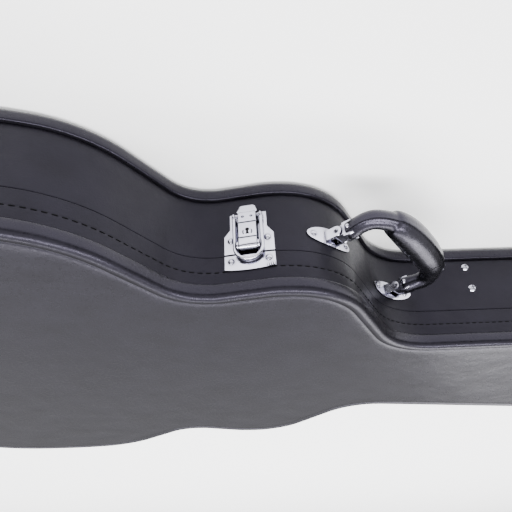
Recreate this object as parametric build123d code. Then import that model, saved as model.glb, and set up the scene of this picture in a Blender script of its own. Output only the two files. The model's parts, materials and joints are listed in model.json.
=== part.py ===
from build123d import *
import math
import os

# Hard-shell case for a semi-hollow guitar, lying flat on its base.  Millimetres.
# +X points to the tail end, -X to the headstock end, -Y is the front with handle and latches,
# +Y is the hinge side and +Z is up.  Stations along the case are counted from the waist,
# positive towards the headstock, so x = -station until the finished case is centred.

# ---- overall outline (wall surface) ----
LOWER_BOUT = 460.6  # width over the lower bout
WAIST = 307.4
UPPER_BOUT = 332.4
NECK = 148.4  # narrowest width, at the shoulder
TAIL_AT = -370.4
HEAD_AT = 735.0
TAIL_CORNER_AT = -300.7  # where the slanted tail corner leaves the bout's full width
TAIL_CORNER_ANGLE = 65.0
HINGE_LINE_AT = -147.9  # where the hinge line leaves the bout's full width
HINGE_ANGLE = 9.3  # hinge line against the case's length
BOUT_SLOPE_AT = -38.0  # a point of the slope from lower bout to waist
BOUT_SLOPE_HALF = 176.6
BOUT_SLOPE_ANGLE = 43.5
UPPER_SLOPE_AT = 34.5  # middle of the rise from waist to upper bout
UPPER_SLOPE_ANGLE = 15.4
SHOULDER_AT = 138.8  # middle of the drop from upper bout to neck
SHOULDER_ANGLE = 54.3
FLARE_AT = 207.5  # where the neck starts to widen again
FLARE_ANGLE = 5.03
BOUT_RADII = (232.0, 174.0, 345.0, 119.0)  # tail, side, towards hinge line, onto the slope
WAIST_RADIUS = 43.0
UPPER_RADII = (90.0, 68.0)
SHOULDER_RADIUS = 60.0
FLARE_RADIUS = 60.0
KNEE_RADIUS = 60.0
HEAD_CORNER_RADIUS = 45.0

# ---- heights ----
CASE_HEIGHT = 107.0
PARTING = 69.7  # height of the line where lid and base part
PARTING_GAP = 0.4
RIM = 12.5  # height of each rolled rim
RIM_OVERHANG = 3.0
RIM_ROUND = 5.0

# ---- sheet and padding thicknesses ----
SKIN = 1.0  # vinyl
PLY = 6.0  # wall plywood
PANEL = 5.0  # top and bottom plywood
CREASE_WIDTH = 2.5
CREASE_DEPTH = 0.5
CREASE_IN = 9.0  # crease behind the rim's edge
LINING_GAP = 0.2
FLOOR_PAD = 12.0
SIDE_PAD = 13.0
LID_PAD = 12.0
TONGUE = 2.0
TONGUE_DROP = 10.0  # tongue below the parting line
TONGUE_GAP = 0.5

# ---- neck cradle and accessory box ----
CRADLE_AT = 263.0
CRADLE_LENGTH = 56.0
CRADLE_TOP = 59.0
CHANNEL_WIDTH = 66.0
CHANNEL_FLOOR = 43.0
BOX_LENGTH = 150.0
BOX_WALL = 4.0
BOX_WIDTH = 92.0
BOX_TOP = 36.0
FLAP_LENGTH = 44.0
FLAP_THICK = 3.0
FLAP_GAP = 0.4
FLAP_PIN_RADIUS = 1.2
CRADLE_SCREW_HEIGHTS = (21.5, 46.0)
SCREW_SHANK = 2.0
SCREW_HEAD = 4.0
SCREW_LENGTH = 18.0
HOLE_CLEARANCE = 0.05

# ---- latches ----
LATCH_STATIONS = {"bout": -184.0, "lock": 37.9, "neck": 470.0}
LATCH_NAMES = ("bout", "lock", "neck", "tail", "head")
METAL = 1.2
PLATE_HALF = 19.25
PLATE_NECK_HALF = 14.5
PLATE_BOTTOM = -38.7
PLATE_SHOULDER = (-24.0, -17.5)
PLATE_SPLIT = 0.8
CATCH_TOP = 13.0
CATCH_BOW = 1.6
LEVER_PIVOT = (-4.5, 5.5)  # height against the parting line, distance off the wall
LEVER_HALF = 7.0
LEVER_END_RADIUS = 3.9
TAB_HALF = 7.8
TAB_END = -45.5
TAB_FROM = -37.0  # the wide part of the tab starts here
LEVER_FACE = 8.4  # the flat front's distance off the wall
LEVER_STEP = 1.2  # the upper part lies this much lower
TAB_THICK = 1.4
TAB_LIFT = 2.4  # under the tab's tip, for a fingernail
EAR_GAP = 0.3
EAR_THICK = 1.2
EAR_HALF = 3.4
LEVER_PIN = 1.25
RUNNING = 0.05  # radial clearance of pins in turning holes
TRUNNION = (-33.0, 5.0)
TRUNNION_RADIUS = 1.5
BAIL_HALF = 12.0
BAIL_STRIP = 2.8
BAIL_THICK = 3.0
BAIL_ARC_AT = -3.0
BAIL_GAP = 0.5
HOOK_HEIGHT = 2.2
LATCH_RIVET_X = 14.2
PLATE_RIVET_Y = -13.2
CATCH_RIVET_Y = 6.0
RIVET_SHANK = 1.5
RIVET_HEAD = 2.5
RIVET_RISE = 1.4
RIVET_SEAT = 0.08  # the head's flat underside over the curved plate
CYLINDER_RADIUS = 3.0
CYLINDER_AT = -16.0
CYLINDER_DEPTH = 3.0
KEYWAY = 1.0
CAM_REACH = 6.0  # from the lock's axis
CAM_WIDTH = 4.4
CAM_THICK = 2.2
CAM_CLEARANCE = 0.25

# ---- hinges ----
HINGE_STATIONS = (-165.0, -95.0, 665.0)
HINGE_NAMES = ("tail", "middle", "head")
AXIS_OUT = 5.0  # hinge axis outside the hinge line
BARREL_RADIUS = 2.8
HINGE_PIN = 1.3
LEAF_HALF = 18.0
LEAF_REACH = 21.0
KNUCKLE = 11.0
KNUCKLE_GAP = 0.3
HINGE_RIVET_X = 11.0
HINGE_RIVET_Y = 14.0

# ---- handle ----
MOUNT_STATIONS = (103.8, 177.8)
HANDLE_HEIGHT = 51.3
MOUNT_LENGTH = 45.0
MOUNT_WIDTH = 17.0
MOUNT_RIVET = 17.0
PIVOT_OUT = 8.2
PIVOT_PIN = 1.6
LINK_WIDTH = 10.0  # along the chord
LINK_DEPTH = 13.0  # along the case's height
LINK_EYE = 4.5
LINK_BLOCK = (13.2, 21.5)
LINK_WALL = 1.3
SOCKET_CLEARANCE = 0.05
STRAP_RADIUS = 7.5
STRAP_START = 18.0
STRAP_KNEE = (3.0, 33.0)  # how far the strap leans outwards, and its height at the knee
STRAP_TOP = 51.5
STRAP_TOP_HALF = 38.0
STRAP_ROUND = 20.0
GRIP_RADIUS = 14.0
GRIP_HALF = 34.0
GRIP_ROUND = 5.0

os.makedirs("parts", exist_ok=True)
parts = {}


# ---------------------------------------------------------------- outline
def slope_from(at, half, angle, level):
    """Station where a line through (at, half) with this slope angle reaches the given half width."""
    return at + (level - half) / math.tan(math.radians(angle))


bout, waist, upper, neck = LOWER_BOUT / 2, WAIST / 2, UPPER_BOUT / 2, NECK / 2
hinge_slope = math.tan(math.radians(HINGE_ANGLE))
flare_slope = math.tan(math.radians(FLARE_ANGLE))
bout_slope = math.tan(math.radians(BOUT_SLOPE_ANGLE))


def hinge_line_half(station):
    return bout - hinge_slope * (station - HINGE_LINE_AT)


# crossing of the hinge line with the slope down to the waist, and with the neck's flare
onto_slope = (BOUT_SLOPE_HALF + bout_slope * BOUT_SLOPE_AT - bout - hinge_slope * HINGE_LINE_AT) / (
    bout_slope - hinge_slope
)
knee_at = (bout + hinge_slope * HINGE_LINE_AT - neck + flare_slope * FLARE_AT) / (
    flare_slope + hinge_slope
)
tail_corner_half = bout - (TAIL_CORNER_AT - TAIL_AT) * math.tan(math.radians(TAIL_CORNER_ANGLE))
half_outline = (
    (TAIL_AT, 0.0),
    (TAIL_AT, tail_corner_half),
    (TAIL_CORNER_AT, bout),
    (HINGE_LINE_AT, bout),
    (onto_slope, hinge_line_half(onto_slope)),
    (slope_from(BOUT_SLOPE_AT, BOUT_SLOPE_HALF, -BOUT_SLOPE_ANGLE, waist), waist),
    (slope_from(UPPER_SLOPE_AT, (waist + upper) / 2, UPPER_SLOPE_ANGLE, waist), waist),
    (slope_from(UPPER_SLOPE_AT, (waist + upper) / 2, UPPER_SLOPE_ANGLE, upper), upper),
    (slope_from(SHOULDER_AT, (upper + neck) / 2, -SHOULDER_ANGLE, upper), upper),
    (slope_from(SHOULDER_AT, (upper + neck) / 2, -SHOULDER_ANGLE, neck), neck),
    (FLARE_AT, neck),
    (knee_at, hinge_line_half(knee_at)),
    (HEAD_AT, hinge_line_half(HEAD_AT)),
    (HEAD_AT, 0.0),
)
radii = (
    *BOUT_RADII,
    WAIST_RADIUS,
    WAIST_RADIUS,
    *UPPER_RADII,
    SHOULDER_RADIUS,
    FLARE_RADIUS,
    KNEE_RADIUS,
    HEAD_CORNER_RADIUS,
)


def moved_half(distance):
    """Corner points and radii of the half outline moved outwards by a distance."""
    lines = []
    for (s0, h0), (s1, h1) in zip(half_outline, half_outline[1:]):
        length = math.hypot(s1 - s0, h1 - h0)
        out = (-(h1 - h0) / length * distance, (s1 - s0) / length * distance)
        lines.append(((s0 + out[0], h0 + out[1]), (s1 - s0, h1 - h0)))
    points, rounds = [(lines[0][0][0], 0.0)], []
    for (p, u), (q, v), radius in zip(lines, lines[1:], radii):
        turn = u[0] * v[1] - u[1] * v[0]
        share = ((q[0] - p[0]) * v[1] - (q[1] - p[1]) * v[0]) / turn
        points.append((p[0] + share * u[0], p[1] + share * u[1]))
        rounds.append(radius + distance if turn < 0 else radius - distance)
    points.append((lines[-1][0][0], 0.0))
    return points, rounds


def front_and_rear(distance):
    points, rounds = moved_half(distance)
    front = FilletPolyline(*[(-s, -h) for s, h in points], radius=rounds)
    rear = FilletPolyline(*[(-s, h) for s, h in reversed(points)], radius=rounds[::-1])
    return front, rear


front_line, rear_line = front_and_rear(0.0)
outlines = {}


def outline_at(distance):
    """The outline face moved outwards (or inwards, when negative) by a distance."""
    key = round(distance, 4)
    if key not in outlines:
        points, rounds = moved_half(distance)
        points = points[1:-1]
        loop = [*[(-s, -h) for s, h in points], *[(-s, h) for s, h in reversed(points)]]
        border = FilletPolyline(*loop, radius=[*rounds, *rounds[::-1]], close=True)
        outlines[key] = make_face(border.edges())
    return outlines[key]


def slab(distance, low, high):
    return Pos(0, 0, low) * extrude(outline_at(distance), amount=high - low)


def ring(outer, inner, low, high):
    return slab(outer, low, high) - slab(inner, low - 1, high + 1)


def block(x, y, z):
    """A box between two values along each axis."""
    size = (x[1] - x[0], y[1] - y[0], z[1] - z[0])
    middle = ((x[0] + x[1]) / 2, (y[0] + y[1]) / 2, (z[0] + z[1]) / 2)
    return Pos(*middle) * Box(*size)


# ---------------------------------------------------------------- places on the wall
def front_place(station, height, along=0.0):
    """Plane on the front wall: x towards the tail, y up, z out of the wall."""
    low, high = 0.0, 1.0
    for _ in range(40):
        middle = (low + high) / 2
        if -front_line.position_at(middle).X < station:
            low = middle
        else:
            high = middle
    at = low + along / front_line.length
    point, tangent = front_line.position_at(at), front_line.tangent_at(at)
    towards_tail = Vector(-tangent.X, -tangent.Y, 0)
    return Plane((point.X, point.Y, height), x_dir=towards_tail, z_dir=towards_tail.cross(Vector(0, 0, 1)))


def rear_place(station, height):
    """Plane on the rear wall: x towards the headstock, y up, z out of the wall."""
    front = front_place(station, height)
    return Plane(
        (front.origin.X, -front.origin.Y, height),
        x_dir=(-front.x_dir.X, front.x_dir.Y, 0),
        z_dir=(front.z_dir.X, -front.z_dir.Y, 0),
    )


def end_place(station, height, outwards):
    """Plane on the middle of the tail end (outwards = 1) or of the headstock end (-1)."""
    return Plane((-station, 0, height), x_dir=(0, outwards, 0), z_dir=(outwards, 0, 0))


hinge_along = Vector(math.cos(math.radians(HINGE_ANGLE)), math.sin(math.radians(HINGE_ANGLE)), 0)
hinge_out = Vector(-hinge_along.Y, hinge_along.X, 0)


def hinge_place(station):
    """Plane on the hinge line: x towards the headstock, y up, z away from the case."""
    return Plane((-station, hinge_line_half(station), PARTING), x_dir=-hinge_along, z_dir=hinge_out)


def wall_plate(plane, shape, thickness=METAL):
    """A flat shape laid on the wall, taking up the wall's curve."""
    stock = extrude(plane * shape, amount=30, both=True)
    return stock & ring(thickness, 0, 0, CASE_HEIGHT)


def rod(plane, x, y, radius, low, high):
    """Round rod along the plane's z at (x, y)."""
    return plane * Pos(x, y, (low + high) / 2) * Cylinder(radius, high - low)


def cross_rod(plane, y, z, radius, low, high):
    """Round rod along the plane's x at height y and distance z."""
    return plane * Pos((low + high) / 2, y, z) * Rot(0, 90, 0) * Cylinder(radius, high - low)


def cut_from(names, tool):
    for name in names:
        parts[name] = parts[name] - tool


WALL_DEPTH = SKIN + PLY
BASE_SHELL = ("base_wall", "base_wall_cover")
LID_SHELL = ("lid_wall", "lid_wall_cover")


def dome(radius, rise):
    """Low round head standing on z = 0."""
    ball = (radius**2 + rise**2) / (2 * rise)
    cap = Pos(0, 0, rise - ball) * Sphere(ball)
    return cap & Pos(0, 0, rise) * Box(4 * radius, 4 * radius, 2 * rise)


def rivet(plane, x, y, on, shell, reach=WALL_DEPTH):
    """Domed rivet through the plate called on and the wall; its hole is cut through both."""
    hole = rod(plane, x, y, RIVET_SHANK + HOLE_CLEARANCE, -reach - 2, 5)
    cut_from((on, *shell), hole)
    head = plane * Pos(x, y, METAL + RIVET_SEAT) * dome(RIVET_HEAD, RIVET_RISE)
    return head + rod(plane, x, y, RIVET_SHANK, -reach + 0.3, METAL + RIVET_SEAT)


# ---------------------------------------------------------------- shell halves
base_top = PARTING - PARTING_GAP / 2
lid_low = PARTING + PARTING_GAP / 2
LID_TOP = CASE_HEIGHT


def rounded_slab(distance, low, high, radius):
    """Slab whose lower border is rounded."""
    body = slab(distance, low, high)
    lower = body.edges().filter_by(lambda edge: edge.center().Z < low + 0.01)
    return fillet(lower, radius)


def full_core():
    return rounded_slab(RIM_OVERHANG - SKIN, SKIN, RIM - SKIN, RIM_ROUND - SKIN)


def face_cover():
    """Vinyl over one face and its rolled rim, face downwards, with the core's space left out."""
    body = rounded_slab(RIM_OVERHANG, 0, RIM, RIM_ROUND)
    body = body - full_core() - slab(-SKIN, RIM - 2 * SKIN, RIM + 1)
    crease = ring(RIM_OVERHANG - CREASE_IN, RIM_OVERHANG - CREASE_IN - CREASE_WIDTH, -1, CREASE_DEPTH)
    return body - crease


def rim_core():
    return full_core() - slab(-WALL_DEPTH, 0, RIM)


def turned_over(shape):
    """The same piece for the lid: mirrored about the case's middle height."""
    return mirror(shape, about=Plane.XY.offset(CASE_HEIGHT / 2))


parts["base_face_cover"] = face_cover()
parts["base_rim_core"] = rim_core()
parts["base_panel"] = slab(-WALL_DEPTH, SKIN, SKIN + PANEL)
parts["lid_face_cover"] = turned_over(parts["base_face_cover"])
parts["lid_rim_core"] = turned_over(parts["base_rim_core"])
parts["lid_panel"] = turned_over(parts["base_panel"])
parts["base_wall"] = ring(-SKIN, -WALL_DEPTH, RIM - SKIN, base_top)
parts["base_wall_cover"] = ring(0, -SKIN, RIM, base_top)
parts["lid_wall"] = ring(-SKIN, -WALL_DEPTH, lid_low, LID_TOP - RIM + SKIN)
parts["lid_wall_cover"] = ring(0, -SKIN, lid_low, LID_TOP - RIM)
tongue_out = -WALL_DEPTH - TONGUE_GAP
tongue_low = PARTING - TONGUE_DROP
parts["lid_tongue"] = ring(tongue_out, tongue_out - TONGUE, tongue_low, LID_TOP - SKIN - PANEL - LINING_GAP)

# ---------------------------------------------------------------- padding
floor_low = SKIN + PANEL
floor_top = floor_low + FLOOR_PAD
pad_out = -WALL_DEPTH - LINING_GAP
parts["base_floor_pad"] = slab(pad_out, floor_low, floor_top)
side_pad = ring(pad_out, pad_out - SIDE_PAD, floor_top, tongue_low - 0.6)
lid_pad_out = tongue_out - TONGUE - LINING_GAP
lid_pad_low = LID_TOP - SKIN - PANEL - LID_PAD
parts["lid_lining"] = slab(lid_pad_out, lid_pad_low, LID_TOP - SKIN - PANEL)

# neck cradle: a padded block from wall to wall with a channel for the neck
cradle_x = (-CRADLE_AT - CRADLE_LENGTH / 2, -CRADLE_AT + CRADLE_LENGTH / 2)
wide = (-bout, bout)
cradle_space = block(cradle_x, wide, (floor_top, PARTING))
parts["base_side_padding"] = side_pad - block(
    (cradle_x[0] - LINING_GAP, cradle_x[1] + LINING_GAP), wide, (floor_top - 1, PARTING)
)
cradle = cradle_space & slab(pad_out, floor_top, CRADLE_TOP)
channel = block(
    (cradle_x[0] - 1, cradle_x[1] + 1), (-CHANNEL_WIDTH / 2, CHANNEL_WIDTH / 2), (CHANNEL_FLOOR, PARTING)
)
parts["neck_cradle"] = cradle - channel

# accessory box behind the cradle: open compartment, fixed top board, short hinged flap
box_x = (cradle_x[0] - LINING_GAP - BOX_LENGTH, cradle_x[0] - LINING_GAP)
box_y = (-BOX_WIDTH / 2, BOX_WIDTH / 2)
inner_x = (box_x[0] + BOX_WALL, box_x[1] - BOX_WALL)
inner_y = (box_y[0] + BOX_WALL, box_y[1] - BOX_WALL)
box = block(box_x, box_y, (floor_top, BOX_TOP)) - block(inner_x, inner_y, (floor_top + 3, BOX_TOP + 1))
top_board = block(
    (box_x[0], inner_x[1] - FLAP_LENGTH - FLAP_GAP), box_y, (BOX_TOP, BOX_TOP + FLAP_THICK)
)
flap_axis = (inner_x[1] + FLAP_PIN_RADIUS, BOX_TOP + FLAP_THICK / 2)
flap_y = (inner_y[0] + FLAP_GAP, inner_y[1] - FLAP_GAP)
flap_x = (inner_x[1] - FLAP_LENGTH, inner_x[1])
flap = block(flap_x, flap_y, (BOX_TOP + FLAP_GAP, BOX_TOP + FLAP_THICK))
flap_pin_line = Plane((flap_axis[0], 0, flap_axis[1]), x_dir=(0, 1, 0), z_dir=(1, 0, 0))
flap_pin = cross_rod(flap_pin_line, 0, 0, FLAP_PIN_RADIUS, box_y[0] + 1, box_y[1] - 1)
flap_eye = cross_rod(flap_pin_line, 0, 0, FLAP_THICK / 2, flap_y[0], flap_y[1])
flap = flap - cross_rod(flap_pin_line, 0, 0, FLAP_THICK / 2, flap_y[0], flap_y[1])
pull_hole = Pos(flap_x[0] + 9, 0, BOX_TOP) * Cylinder(5, 20)
parts["accessory_lid"] = flap + (flap_eye & block(
    (flap_axis[0] - 9, flap_axis[0] + 9), flap_y, (BOX_TOP, BOX_TOP + FLAP_THICK)
)) + flap_pin - pull_hole
for side in box_y:
    cheek_y = (side, side + 3.6) if side < 0 else (side - 3.6, side)
    box = box + block((inner_x[1] - 3, box_x[1]), cheek_y, (BOX_TOP, BOX_TOP + FLAP_THICK))
pin_room = cross_rod(flap_pin_line, 0, 0, FLAP_PIN_RADIUS + RUNNING, box_y[0] - 1, box_y[1] + 1)
parts["accessory_box"] = box + top_board - pin_room

# two cross-head screws through each wall hold the cradle
screws = []
for wall_place in (front_place, rear_place):
    for height in CRADLE_SCREW_HEIGHTS:
        place = wall_place(CRADLE_AT, height)
        hole = rod(place, 0, 0, SCREW_SHANK + HOLE_CLEARANCE, -SCREW_LENGTH - 1, 3)
        cut_from((*BASE_SHELL, "neck_cradle"), hole)
        cross = place * Pos(0, 0, 2.6) * (Box(4, 1, 2) + Box(1, 4, 2))
        head = place * Pos(0, 0, 0.05) * dome(SCREW_HEAD, 2.4)
        screws.append(head - cross + rod(place, 0, 0, SCREW_SHANK, -SCREW_LENGTH, 0.3))
parts["cradle_screws"] = Compound(screws)

# ---------------------------------------------------------------- latches
lever_profile = (
    (TRUNNION[0] - 1.5, 1.6),
    (LEVER_PIVOT[0], LEVER_PIVOT[1] - LEVER_END_RADIUS),
    (LEVER_PIVOT[0], LEVER_PIVOT[1] + LEVER_END_RADIUS),
    (-9.0, 9.2),
    (-9.4, LEVER_FACE),
    (-24.6, LEVER_FACE),
    (-25.0, LEVER_FACE - LEVER_STEP / 2),
    (TAB_FROM + 2, LEVER_FACE - LEVER_STEP),
    (TAB_FROM - 2, LEVER_FACE - 2 * LEVER_STEP),
    (TAB_END, TAB_LIFT + TAB_THICK),
    (TAB_END, TAB_LIFT),
    (TAB_FROM - 2, LEVER_FACE - 2 * LEVER_STEP - TAB_THICK),
    (TAB_FROM, 1.6 + TAB_LIFT),
)


def side_view(plane, points, half):
    """Prism across the latch from points given as (height, distance off the wall)."""
    across = Plane(plane.origin, x_dir=plane.y_dir, z_dir=plane.x_dir)
    return extrude(across * make_face(Polyline(*points, close=True).edges()), amount=half, both=True)


def latch_lever(plane, locking):
    lever = side_view(plane, lever_profile, LEVER_HALF)
    lever = lever + cross_rod(plane, *LEVER_PIVOT, LEVER_END_RADIUS, -LEVER_HALF, LEVER_HALF)
    tab = plane * block((-TAB_HALF, TAB_HALF), (TAB_END - 1, TAB_FROM), (0, 12))
    lever = lever + (side_view(plane, lever_profile, TAB_HALF) & tab)
    lever = lever + cross_rod(plane, *TRUNNION, TRUNNION_RADIUS, -BAIL_HALF - 0.4, BAIL_HALF + 0.4)
    lever = lever - cross_rod(plane, *LEVER_PIVOT, LEVER_PIN + RUNNING, -LEVER_HALF - 1, LEVER_HALF + 1)
    for x in (-3.4, 3.4):
        lever = lever - plane * Pos(x, -30.0, 7.9) * Sphere(1.1)
    if locking:
        inner_end = LEVER_FACE - CYLINDER_DEPTH
        bore = rod(plane, 0, CYLINDER_AT, CYLINDER_RADIUS + RUNNING, inner_end, 10)
        pocket = rod(plane, 0, CYLINDER_AT, CAM_REACH + CAM_CLEARANCE, 1.0, inner_end + CAM_CLEARANCE)
        lever = lever - bore - pocket
    return lever


def latch_bail(plane):
    """U-shaped wire bail with its round end towards the lid."""
    middle = METAL + HOOK_HEIGHT + BAIL_GAP + BAIL_THICK / 2
    outer = Pos(0, BAIL_ARC_AT) * Circle(BAIL_HALF)
    inner = Pos(0, BAIL_ARC_AT) * Circle(BAIL_HALF - BAIL_STRIP)
    arm_low = TRUNNION[0]
    arms = Pos(0, (BAIL_ARC_AT + arm_low) / 2) * Rectangle(2 * BAIL_HALF, BAIL_ARC_AT - arm_low)
    gap = Pos(0, (BAIL_ARC_AT + arm_low - 8) / 2) * Rectangle(
        2 * (BAIL_HALF - BAIL_STRIP), BAIL_ARC_AT - arm_low + 8
    )
    flat = outer + arms - inner - gap
    ring_part = plane * Pos(0, 0, middle - BAIL_THICK / 2) * extrude(flat, amount=BAIL_THICK)
    eyes = cross_rod(plane, *TRUNNION, 3.0, -BAIL_HALF, BAIL_HALF) - plane * block(
        (-BAIL_HALF + BAIL_STRIP, BAIL_HALF - BAIL_STRIP), (arm_low - 5, arm_low + 5), (0, 12)
    )
    hole = cross_rod(plane, *TRUNNION, TRUNNION_RADIUS + RUNNING, -BAIL_HALF - 1, BAIL_HALF + 1)
    return ring_part + eyes - hole


def base_plate_shape():
    half = ((PLATE_NECK_HALF, PLATE_BOTTOM), (PLATE_NECK_HALF, PLATE_SHOULDER[0]),
            (PLATE_HALF, PLATE_SHOULDER[1]), (PLATE_HALF, -PLATE_SPLIT))
    points = [*half, *[(-x, y) for x, y in reversed(half)]]
    return make_face(Polyline(*points, close=True).edges())


def catch_shape():
    sides = Polyline((PLATE_HALF, CATCH_TOP), (PLATE_HALF, PLATE_SPLIT), (-PLATE_HALF, PLATE_SPLIT),
                     (-PLATE_HALF, CATCH_TOP))
    bow = ThreePointArc((-PLATE_HALF, CATCH_TOP), (0, CATCH_TOP + CATCH_BOW), (PLATE_HALF, CATCH_TOP))
    return make_face([*sides.edges(), *bow.edges()])


def add_latch(name, plane):
    """One drawbolt latch: plate, lever, bail and catch, with its pin and rivets."""
    plate_name, catch_name = name + "_latch_plate", name + "_catch_plate"
    plate = wall_plate(plane, base_plate_shape())
    ears = []
    for side in (-1, 1):
        near = side * (LEVER_HALF + EAR_GAP)
        far = side * (LEVER_HALF + EAR_GAP + EAR_THICK)
        x = (min(near, far), max(near, far))
        y = (LEVER_PIVOT[0] - EAR_HALF, LEVER_PIVOT[0] + EAR_HALF)
        ears.append(plane * block(x, y, (METAL / 2, LEVER_PIVOT[1])))
        ears.append(cross_rod(plane, *LEVER_PIVOT, EAR_HALF, *x))
    reach = LEVER_HALF + EAR_GAP + EAR_THICK
    pin_hole = cross_rod(plane, *LEVER_PIVOT, LEVER_PIN + RUNNING / 2, -reach - 1, reach + 1)
    plate = plate + ears - pin_hole
    parts[plate_name] = plate
    hook = (Pos(0, BAIL_ARC_AT) * Circle(BAIL_HALF - 0.6)) & Pos(0, 8) * Rectangle(40, 10.4)
    catch = wall_plate(plane, catch_shape())
    parts[catch_name] = catch + plane * Pos(0, 0, METAL / 2) * extrude(hook, amount=METAL / 2 + HOOK_HEIGHT)
    lever_pins.append(cross_rod(plane, *LEVER_PIVOT, LEVER_PIN, -reach - 0.3, reach + 0.3))
    for x in (-LATCH_RIVET_X, LATCH_RIVET_X):
        latch_rivets.append(rivet(plane, x, PLATE_RIVET_Y, plate_name, BASE_SHELL))
        catch_rivets.append(rivet(plane, x, CATCH_RIVET_Y, catch_name, LID_SHELL))
    parts[name + "_latch_lever"] = latch_lever(plane, name == "lock")
    parts[name + "_latch_bail"] = latch_bail(plane)


latch_planes = {name: front_place(at, PARTING) for name, at in LATCH_STATIONS.items()}
latch_planes["tail"] = end_place(TAIL_AT, PARTING, 1)
latch_planes["head"] = end_place(HEAD_AT, PARTING, -1)
lever_pins, latch_rivets, catch_rivets = [], [], []
for latch_name in LATCH_NAMES:
    add_latch(latch_name, latch_planes[latch_name])
parts["latch_lever_pins"] = Compound(lever_pins)
parts["latch_plate_rivets"] = Compound(latch_rivets)
parts["catch_plate_rivets"] = Compound(catch_rivets)

lock_plane = latch_planes["lock"]
cam_top = LEVER_FACE - CYLINDER_DEPTH
cylinder = rod(lock_plane, 0, CYLINDER_AT, CYLINDER_RADIUS, cam_top, LEVER_FACE)
keyhole = Pos(0, CYLINDER_AT + 0.9) * Circle(KEYWAY) + Pos(0, CYLINDER_AT - 0.6) * Rectangle(KEYWAY, 2.6)
parts["lock_cylinder"] = cylinder - lock_plane * Pos(0, 0, LEVER_FACE - 1.6) * extrude(keyhole, amount=3)
cam_bar = block(
    (-CAM_WIDTH / 2, CAM_WIDTH / 2), (CYLINDER_AT - CAM_REACH, CYLINDER_AT + CAM_WIDTH / 2),
    (cam_top - CAM_THICK, cam_top),
)
cam_disc = rod(lock_plane, 0, CYLINDER_AT, CAM_REACH, cam_top - CAM_THICK, cam_top)
parts["lock_cam"] = lock_plane * cam_bar & cam_disc

# ---------------------------------------------------------------- hinges
hinge_pins, base_leaf_rivets, lid_leaf_rivets = [], [], []


def knuckle(plane, low, high, web_y):
    """Barrel piece from low to high along the axis with its web back to the wall."""
    barrel = cross_rod(plane, 0, AXIS_OUT, BARREL_RADIUS, low, high)
    web = plane * block((low, high), web_y, (-8, AXIS_OUT))
    web = web - slab(METAL / 2, 0, CASE_HEIGHT)
    return barrel + web


for hinge_name, station in zip(HINGE_NAMES, HINGE_STATIONS):
    plane = hinge_place(station)
    bore = cross_rod(plane, 0, AXIS_OUT, HINGE_PIN + RUNNING, -LEAF_HALF - 1, LEAF_HALF + 1)
    leaf_shape = RectangleRounded(2 * LEAF_HALF, LEAF_REACH - 1, 3)
    turn_room = cross_rod(
        plane, 0, AXIS_OUT, BARREL_RADIUS + KNUCKLE_GAP, -KNUCKLE / 2 - KNUCKLE_GAP, KNUCKLE / 2 + KNUCKLE_GAP
    )
    side_rooms = [
        cross_rod(plane, 0, AXIS_OUT, BARREL_RADIUS + KNUCKLE_GAP, *ends)
        for ends in ((-LEAF_HALF - 1, -KNUCKLE / 2), (KNUCKLE / 2, LEAF_HALF + 1))
    ]
    base_leaf = wall_plate(plane, Pos(0, -(LEAF_REACH + 1) / 2) * leaf_shape) - turn_room
    for ends in ((-LEAF_HALF, -KNUCKLE / 2 - KNUCKLE_GAP), (KNUCKLE / 2 + KNUCKLE_GAP, LEAF_HALF)):
        base_leaf = base_leaf + knuckle(plane, *ends, (-2.6, -1.0))
    lid_leaf = wall_plate(plane, Pos(0, (LEAF_REACH + 1) / 2) * leaf_shape) - side_rooms
    lid_leaf = lid_leaf + knuckle(plane, -KNUCKLE / 2, KNUCKLE / 2, (1.0, 2.6))
    parts["hinge_base_leaf_" + hinge_name] = base_leaf - bore
    parts["hinge_lid_leaf_" + hinge_name] = lid_leaf - bore
    hinge_pins.append(cross_rod(plane, 0, AXIS_OUT, HINGE_PIN, -LEAF_HALF - 0.5, LEAF_HALF + 0.5))
    for x in (-HINGE_RIVET_X, HINGE_RIVET_X):
        wall = rear_place(station + x, PARTING)
        base_name, lid_name = "hinge_base_leaf_" + hinge_name, "hinge_lid_leaf_" + hinge_name
        base_leaf_rivets.append(rivet(wall, 0, -HINGE_RIVET_Y, base_name, BASE_SHELL))
        lid_leaf_rivets.append(rivet(wall, 0, HINGE_RIVET_Y, lid_name, LID_SHELL))
parts["hinge_pins"] = Compound(hinge_pins)
parts["hinge_base_rivets"] = Compound(base_leaf_rivets)
parts["hinge_lid_rivets"] = Compound(lid_leaf_rivets)

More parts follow.
